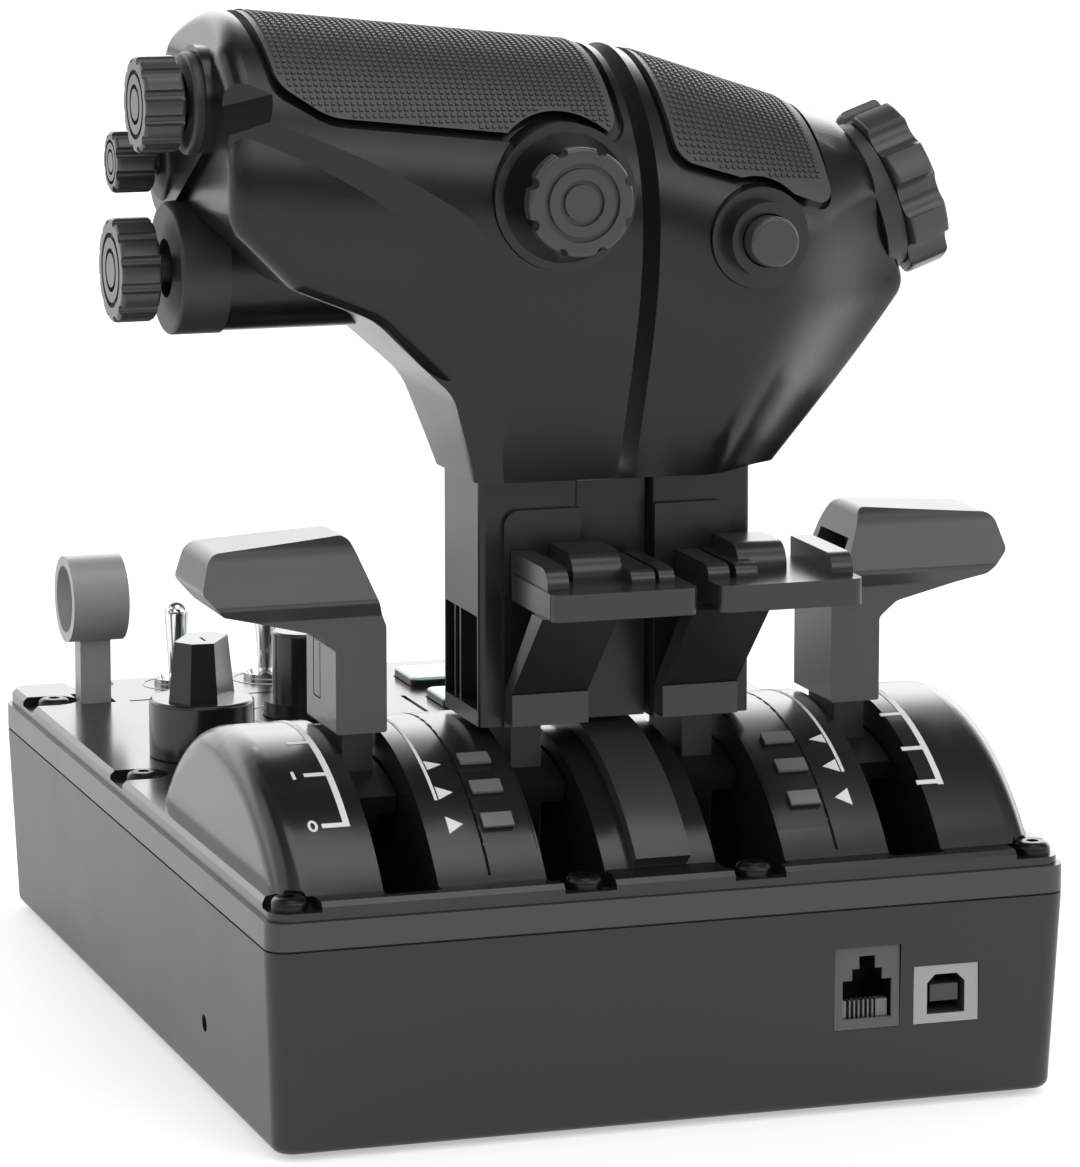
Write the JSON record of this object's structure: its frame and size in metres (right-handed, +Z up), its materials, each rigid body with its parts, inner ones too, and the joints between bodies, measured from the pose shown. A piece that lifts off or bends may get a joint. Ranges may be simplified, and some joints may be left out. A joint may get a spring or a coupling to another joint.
{
  "type": "throttle quadrant",
  "caption": "Desktop flight control quadrant with swinging levers, a split palm grip on the middle pair, thumb and finger controls, an arched cover and a small switch panel.",
  "frame": {"origin": "centre of the base on the surface that its feet stand on", "axes": "+Z is up, +Y runs towards the user and away from the socket face, and +X is towards the side of the base that the sockets are on"},
  "size_m": [0.1719, 0.216, 0.2056],
  "materials": {
    "housing_black": "fine moulded texture",
    "frame_black": "fine moulded texture",
    "cover_black": "fine moulded texture",
    "rubber_black": "matte",
    "pad_rubber": "fine dotted texture",
    "screw_black": "black oxide",
    "rib_grey": "smooth satin",
    "strip_black": "smooth",
    "steel": "turned",
    "support_plastic": "moulded",
    "board_green": "lacquered board",
    "socket_metal": "plated",
    "socket_black": "smooth",
    "switch_black": "moulded",
    "chrome": "polished",
    "lever_grey": "satin",
    "knob_black": "satin",
    "key_mint": "translucent",
    "grip_black": "fine moulded texture",
    "bezel_black": "satin",
    "control_black": "satin",
    "arm_black": "moulded",
    "column_black": "satin",
    "lift_black": "satin",
    "handle_grey": "satin"
  },
  "bodies": {
    "base": {"lower_housing": "housing_black", "rubber_feet": "rubber_black", "upper_frame": "frame_black", "top_cover": "cover_black", "cover_screws": "screw_black", "centre_rib": "rib_grey", "detent_strip_left": "strip_black", "detent_strip_right": "strip_black", "lever_shaft": "steel", "shaft_brackets": "support_plastic", "shaft_spacers": "steel", "friction_screw": "screw_black", "sensor_boards": "board_green", "main_board": "board_green", "usb_socket": "socket_metal", "network_socket": "socket_black", "panel_board": "board_green", "selector_switch": "switch_black", "encoder_switch": "switch_black", "toggle_bodies": "chrome", "key_switches": "switch_black", "gear_lever_bracket": "cover_black"},
    "throttle_left": {"throttle_arm_left": "arm_black", "throttle_column_left": "column_black", "lift_guide_left": "column_black", "grip_left": "grip_black", "grip_pad_left": "pad_rubber", "stick_bezel": "bezel_black", "hat_bases": "support_plastic"},
    "throttle_right": {"throttle_arm_right": "arm_black", "throttle_column_right": "column_black", "lift_guide_right": "column_black", "grip_right": "grip_black", "grip_pad_right": "pad_rubber", "button_bezel": "bezel_black", "dial_hub": "support_plastic"},
    "finger_lift_left": {"finger_lift_left": "lift_black"},
    "finger_lift_right": {"finger_lift_right": "lift_black"},
    "cursor_gimbal": {"cursor_gimbal": "control_black"},
    "cursor_stick": {"cursor_stick": "control_black"},
    "upper_hat_gimbal": {"upper_hat_gimbal": "control_black"},
    "upper_hat": {"upper_hat": "control_black"},
    "middle_hat": {"middle_hat": "control_black"},
    "lower_hat_gimbal": {"lower_hat_gimbal": "control_black"},
    "lower_hat": {"lower_hat": "control_black"},
    "round_button": {"round_button": "control_black"},
    "end_dial": {"end_dial": "control_black"},
    "flaps": {"flaps_arm": "arm_black", "flaps_handle": "handle_grey"},
    "speedbrake": {"speedbrake_arm": "arm_black", "speedbrake_handle": "handle_grey"},
    "gear_lever": {"gear_lever": "lever_grey"},
    "toggle_left": {"toggle_left": "chrome"},
    "toggle_right": {"toggle_right": "chrome"},
    "selector_knob": {"selector_knob": "knob_black"},
    "encoder_knob": {"encoder_knob": "knob_black"},
    "key_front": {"key_front": "key_mint"},
    "key_back": {"key_back": "key_mint"}
  },
  "joints": [
    {"name": "throttle_left", "type": "hinge", "parent": "base", "child": "throttle_left", "pos_m": [0, -0.057, 0.0142], "axis": [1, 0, 0], "range_deg": [-30, 30]},
    {"name": "throttle_right", "type": "hinge", "parent": "base", "child": "throttle_right", "pos_m": [0, -0.057, 0.0142], "axis": [1, 0, 0], "range_deg": [-30, 30]},
    {"name": "flaps", "type": "hinge", "parent": "base", "child": "flaps", "pos_m": [0, -0.057, 0.0142], "axis": [1, 0, 0], "range_deg": [-35, 35]},
    {"name": "speedbrake", "type": "hinge", "parent": "base", "child": "speedbrake", "pos_m": [0, -0.057, 0.0142], "axis": [1, 0, 0], "range_deg": [-35, 35]},
    {"name": "finger_lift_left", "type": "slide", "parent": "throttle_left", "child": "finger_lift_left", "axis": [0, 0, 1], "range_m": [0, 0.006], "stiffness_N_per_m": 250, "springref_m": -0.003},
    {"name": "finger_lift_right", "type": "slide", "parent": "throttle_right", "child": "finger_lift_right", "axis": [0, 0, 1], "range_m": [0, 0.006], "stiffness_N_per_m": 250, "springref_m": -0.003},
    {"name": "cursor_tilt", "type": "hinge", "parent": "throttle_left", "child": "cursor_gimbal", "pos_m": [-0.0168, -0.0883, 0.1728], "axis": [1, 0, 0], "range_deg": [-8, 8], "stiffness_Nm_per_rad": 0.1},
    {"name": "cursor_pan", "type": "hinge", "parent": "cursor_gimbal", "child": "cursor_stick", "pos_m": [-0.0168, -0.0883, 0.1728], "axis": [0, 0, 1], "range_deg": [-8, 8], "stiffness_Nm_per_rad": 0.1},
    {"name": "upper_hat_tilt", "type": "hinge", "parent": "throttle_left", "child": "upper_hat_gimbal", "pos_m": [-0.0785, -0.066, 0.1895], "axis": [0, 1, 0], "range_deg": [-6, 6], "stiffness_Nm_per_rad": 0.1},
    {"name": "upper_hat_pan", "type": "hinge", "parent": "upper_hat_gimbal", "child": "upper_hat", "pos_m": [-0.0785, -0.066, 0.1895], "axis": [0, 0, 1], "range_deg": [-6, 6], "stiffness_Nm_per_rad": 0.1},
    {"name": "middle_hat_press", "type": "slide", "parent": "throttle_left", "child": "middle_hat", "axis": [1, 0, 0], "range_m": [0, 0.001], "stiffness_N_per_m": 400, "springref_m": -0.001},
    {"name": "lower_hat_tilt", "type": "hinge", "parent": "throttle_left", "child": "lower_hat_gimbal", "pos_m": [-0.0784, -0.052, 0.1577], "axis": [0, 1, 0], "range_deg": [-8, 8], "stiffness_Nm_per_rad": 0.1},
    {"name": "lower_hat_pan", "type": "hinge", "parent": "lower_hat_gimbal", "child": "lower_hat", "pos_m": [-0.0784, -0.052, 0.1577], "axis": [0, 0, 1], "range_deg": [-8, 8], "stiffness_Nm_per_rad": 0.1},
    {"name": "round_button_press", "type": "slide", "parent": "throttle_right", "child": "round_button", "axis": [0, 1, 0], "range_m": [0, 0.0012], "stiffness_N_per_m": 400, "springref_m": -0.001},
    {"name": "end_dial", "type": "hinge", "parent": "throttle_right", "child": "end_dial", "pos_m": [0.05292, -0.062, 0.1672], "axis": [0.9397, 0, 0.342], "range_deg": [-135, 135]},
    {"name": "gear_lever", "type": "hinge", "parent": "base", "child": "gear_lever", "pos_m": [-0.063, 0.088, 0.0372], "axis": [1, 0, 0], "range_deg": [-14, 14]},
    {"name": "toggle_left", "type": "hinge", "parent": "base", "child": "toggle_left", "pos_m": [-0.042, 0.098, 0.0455], "axis": [1, 0, 0], "range_deg": [-11, 11]},
    {"name": "toggle_right", "type": "hinge", "parent": "base", "child": "toggle_right", "pos_m": [-0.022, 0.098, 0.0455], "axis": [1, 0, 0], "range_deg": [-11, 11]},
    {"name": "selector_knob", "type": "hinge", "parent": "base", "child": "selector_knob", "pos_m": [-0.0555, 0.025, 0.0487], "axis": [0, 0, 1], "range_deg": [-150, 150]},
    {"name": "encoder_knob", "type": "hinge", "parent": "base", "child": "encoder_knob", "pos_m": [-0.025, 0.058, 0.0487], "axis": [0, 0, 1], "continuous": true},
    {"name": "key_front_press", "type": "slide", "parent": "base", "child": "key_front", "axis": [0, 0, -1], "range_m": [0, 0.001], "stiffness_N_per_m": 400, "springref_m": -0.001},
    {"name": "key_back_press", "type": "slide", "parent": "base", "child": "key_back", "axis": [0, 0, -1], "range_m": [0, 0.001], "stiffness_N_per_m": 400, "springref_m": -0.001}
  ]
}
